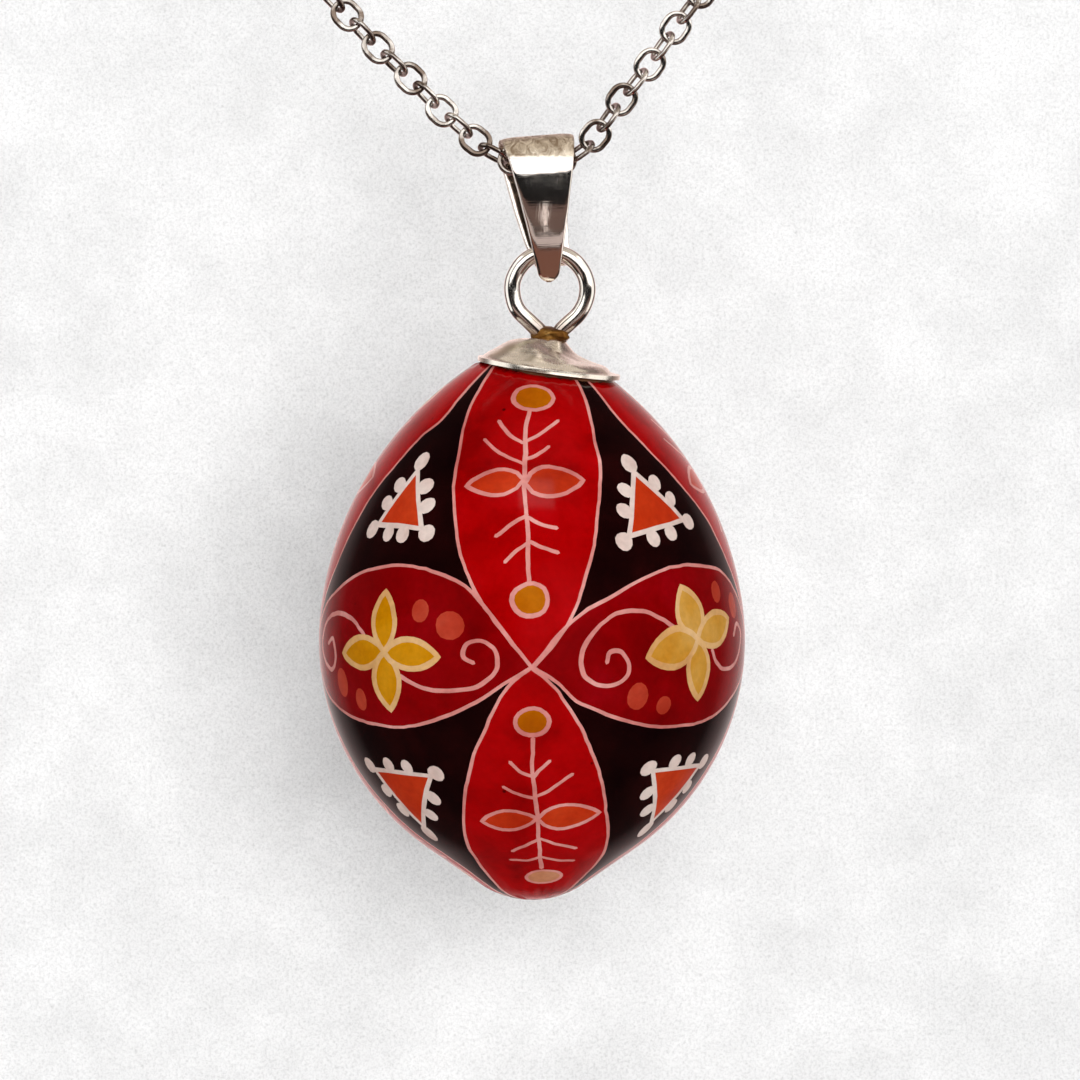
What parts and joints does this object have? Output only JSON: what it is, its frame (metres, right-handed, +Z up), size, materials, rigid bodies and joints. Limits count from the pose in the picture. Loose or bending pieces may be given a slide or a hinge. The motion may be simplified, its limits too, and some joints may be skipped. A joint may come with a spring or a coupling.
{
  "type": "egg pendant on a chain",
  "caption": "Wax-resist decorated egg pendant with a silver cap, wire loop and folded bail, hung from two arms of cable chain.",
  "frame": {"origin": "midway between the centres of the two end rings, where the rest of a necklace chain would be joined on", "axes": "+Z up and against the hang, -Y the front of the pendant, +X to the right as seen from the front"},
  "size_m": [0.028, 0.0256, 0.0573],
  "materials": {
    "lacquered_shell": "glossy lacquer over a wax-resist dyed eggshell",
    "resin": "clear",
    "adhesive": "clear amber",
    "worn_silver": "polished silver with light scratches and tarnish",
    "chain_silver": "polished silver",
    "solder": "dull, brownish gold"
  },
  "bodies": {
    "end_rings": {"end_ring_left": "chain_silver", "end_ring_right": "chain_silver"},
    "bail": {"bail": "worn_silver", "bail_tip_solder": "solder"},
    "pendant": {"egg_shell": "lacquered_shell", "resin_core": "resin", "cap_adhesive": "adhesive", "silver_cap": "worn_silver", "hanging_loop": "worn_silver", "neck_solder": "solder"},
    "link_centre": {"link_centre": "chain_silver"},
    "link_left_01": {"link_left_01": "chain_silver"},
    "link_left_02": {"link_left_02": "chain_silver"},
    "link_left_03": {"link_left_03": "chain_silver"},
    "link_left_04": {"link_left_04": "chain_silver"},
    "link_left_05": {"link_left_05": "chain_silver"},
    "link_left_06": {"link_left_06": "chain_silver"},
    "link_left_07": {"link_left_07": "chain_silver"},
    "link_left_08": {"link_left_08": "chain_silver"},
    "link_left_09": {"link_left_09": "chain_silver"},
    "link_left_10": {"link_left_10": "chain_silver"},
    "link_left_11": {"link_left_11": "chain_silver"},
    "link_left_12": {"link_left_12": "chain_silver"},
    "link_left_13": {"link_left_13": "chain_silver"},
    "link_right_01": {"link_right_01": "chain_silver"},
    "link_right_02": {"link_right_02": "chain_silver"},
    "link_right_03": {"link_right_03": "chain_silver"},
    "link_right_04": {"link_right_04": "chain_silver"},
    "link_right_05": {"link_right_05": "chain_silver"},
    "link_right_06": {"link_right_06": "chain_silver"},
    "link_right_07": {"link_right_07": "chain_silver"},
    "link_right_08": {"link_right_08": "chain_silver"},
    "link_right_09": {"link_right_09": "chain_silver"},
    "link_right_10": {"link_right_10": "chain_silver"},
    "link_right_11": {"link_right_11": "chain_silver"}
  },
  "joints": [
    {"name": "bail_swing", "type": "hinge", "parent": "end_rings", "child": "bail", "pos_m": [0.00188, 0, -0.01202], "axis": [0.9892, 0.1219, 0.0813], "range_deg": [-90, 90]},
    {"name": "egg_roll", "type": "hinge", "parent": "bail", "child": "pendant", "pos_m": [0.00252, 0, -0.01939], "axis": [0, 1, 0], "range_deg": [-60, 60]},
    {"name": "link_centre_twist", "type": "hinge", "parent": "end_rings", "child": "link_centre", "pos_m": [0.00177, 0, -0.01178], "axis": [1, 0, 0], "range_deg": [-12, 12]},
    {"name": "link_left_01_twist", "type": "hinge", "parent": "end_rings", "child": "link_left_01", "pos_m": [0.00043, 0, -0.01168], "axis": [-0.9781, 0, 0.2079], "range_deg": [-12, 12]},
    {"name": "link_left_02_twist", "type": "hinge", "parent": "end_rings", "child": "link_left_02", "pos_m": [-0.00083, 0, -0.01123], "axis": [-0.8829, 0, 0.4695], "range_deg": [-12, 12]},
    {"name": "link_left_03_twist", "type": "hinge", "parent": "end_rings", "child": "link_left_03", "pos_m": [-0.00192, 0, -0.01044], "axis": [-0.7826, 0, 0.6225], "range_deg": [-12, 12]},
    {"name": "link_left_04_twist", "type": "hinge", "parent": "end_rings", "child": "link_left_04", "pos_m": [-0.00293, 0, -0.00956], "axis": [-0.7547, 0, 0.6561], "range_deg": [-12, 12]},
    {"name": "link_left_05_twist", "type": "hinge", "parent": "end_rings", "child": "link_left_05", "pos_m": [-0.00394, 0, -0.00868], "axis": [-0.7254, 0, 0.6884], "range_deg": [-12, 12]},
    {"name": "link_left_06_twist", "type": "hinge", "parent": "end_rings", "child": "link_left_06", "pos_m": [-0.00487, 0, -0.00772], "axis": [-0.6947, 0, 0.7193], "range_deg": [-12, 12]},
    {"name": "link_left_07_twist", "type": "hinge", "parent": "end_rings", "child": "link_left_07", "pos_m": [-0.0058, 0, -0.00675], "axis": [-0.7132, 0, 0.7009], "range_deg": [-12, 12]},
    {"name": "link_left_08_twist", "type": "hinge", "parent": "end_rings", "child": "link_left_08", "pos_m": [-0.00678, 0, -0.00584], "axis": [-0.7254, 0, 0.6884], "range_deg": [-12, 12]},
    {"name": "link_left_09_twist", "type": "hinge", "parent": "end_rings", "child": "link_left_09", "pos_m": [-0.00774, 0, -0.00491], "axis": [-0.7071, 0, 0.7071], "range_deg": [-12, 12]},
    {"name": "link_left_10_twist", "type": "hinge", "parent": "end_rings", "child": "link_left_10", "pos_m": [-0.00867, 0, -0.00394], "axis": [-0.6884, 0, 0.7254], "range_deg": [-12, 12]},
    {"name": "link_left_11_twist", "type": "hinge", "parent": "end_rings", "child": "link_left_11", "pos_m": [-0.00959, 0, -0.00296], "axis": [-0.6884, 0, 0.7254], "range_deg": [-12, 12]},
    {"name": "link_left_12_twist", "type": "hinge", "parent": "end_rings", "child": "link_left_12", "pos_m": [-0.01052, 0, -0.002], "axis": [-0.7009, 0, 0.7132], "range_deg": [-12, 12]},
    {"name": "link_left_13_twist", "type": "hinge", "parent": "end_rings", "child": "link_left_13", "pos_m": [-0.01147, 0, -0.00105], "axis": [-0.7009, 0, 0.7132], "range_deg": [-12, 12]},
    {"name": "link_right_01_twist", "type": "hinge", "parent": "end_rings", "child": "link_right_01", "pos_m": [0.0031, 0, -0.01168], "axis": [0.9703, 0, 0.2419], "range_deg": [-12, 12]},
    {"name": "link_right_02_twist", "type": "hinge", "parent": "end_rings", "child": "link_right_02", "pos_m": [0.00433, 0, -0.01114], "axis": [0.8191, 0, 0.5736], "range_deg": [-12, 12]},
    {"name": "link_right_03_twist", "type": "hinge", "parent": "end_rings", "child": "link_right_03", "pos_m": [0.00526, 0, -0.01018], "axis": [0.6428, 0, 0.766], "range_deg": [-12, 12]},
    {"name": "link_right_04_twist", "type": "hinge", "parent": "end_rings", "child": "link_right_04", "pos_m": [0.00605, 0, -0.00909], "axis": [0.5878, 0, 0.809], "range_deg": [-12, 12]},
    {"name": "link_right_05_twist", "type": "hinge", "parent": "end_rings", "child": "link_right_05", "pos_m": [0.00683, 0, -0.00801], "axis": [0.6088, 0, 0.7934], "range_deg": [-12, 12]},
    {"name": "link_right_06_twist", "type": "hinge", "parent": "end_rings", "child": "link_right_06", "pos_m": [0.00768, 0, -0.00697], "axis": [0.6293, 0, 0.7771], "range_deg": [-12, 12]},
    {"name": "link_right_07_twist", "type": "hinge", "parent": "end_rings", "child": "link_right_07", "pos_m": [0.00852, 0, -0.00592], "axis": [0.6018, 0, 0.7986], "range_deg": [-12, 12]},
    {"name": "link_right_08_twist", "type": "hinge", "parent": "end_rings", "child": "link_right_08", "pos_m": [0.00929, 0, -0.00483], "axis": [0.5736, 0, 0.8191], "range_deg": [-12, 12]},
    {"name": "link_right_09_twist", "type": "hinge", "parent": "end_rings", "child": "link_right_09", "pos_m": [0.01006, 0, -0.00373], "axis": [0.5807, 0, 0.8141], "range_deg": [-12, 12]},
    {"name": "link_right_10_twist", "type": "hinge", "parent": "end_rings", "child": "link_right_10", "pos_m": [0.01084, 0, -0.00265], "axis": [0.5948, 0, 0.8039], "range_deg": [-12, 12]},
    {"name": "link_right_11_twist", "type": "hinge", "parent": "end_rings", "child": "link_right_11", "pos_m": [0.01165, 0, -0.00158], "axis": [0.5948, 0, 0.8039], "range_deg": [-12, 12]}
  ]
}
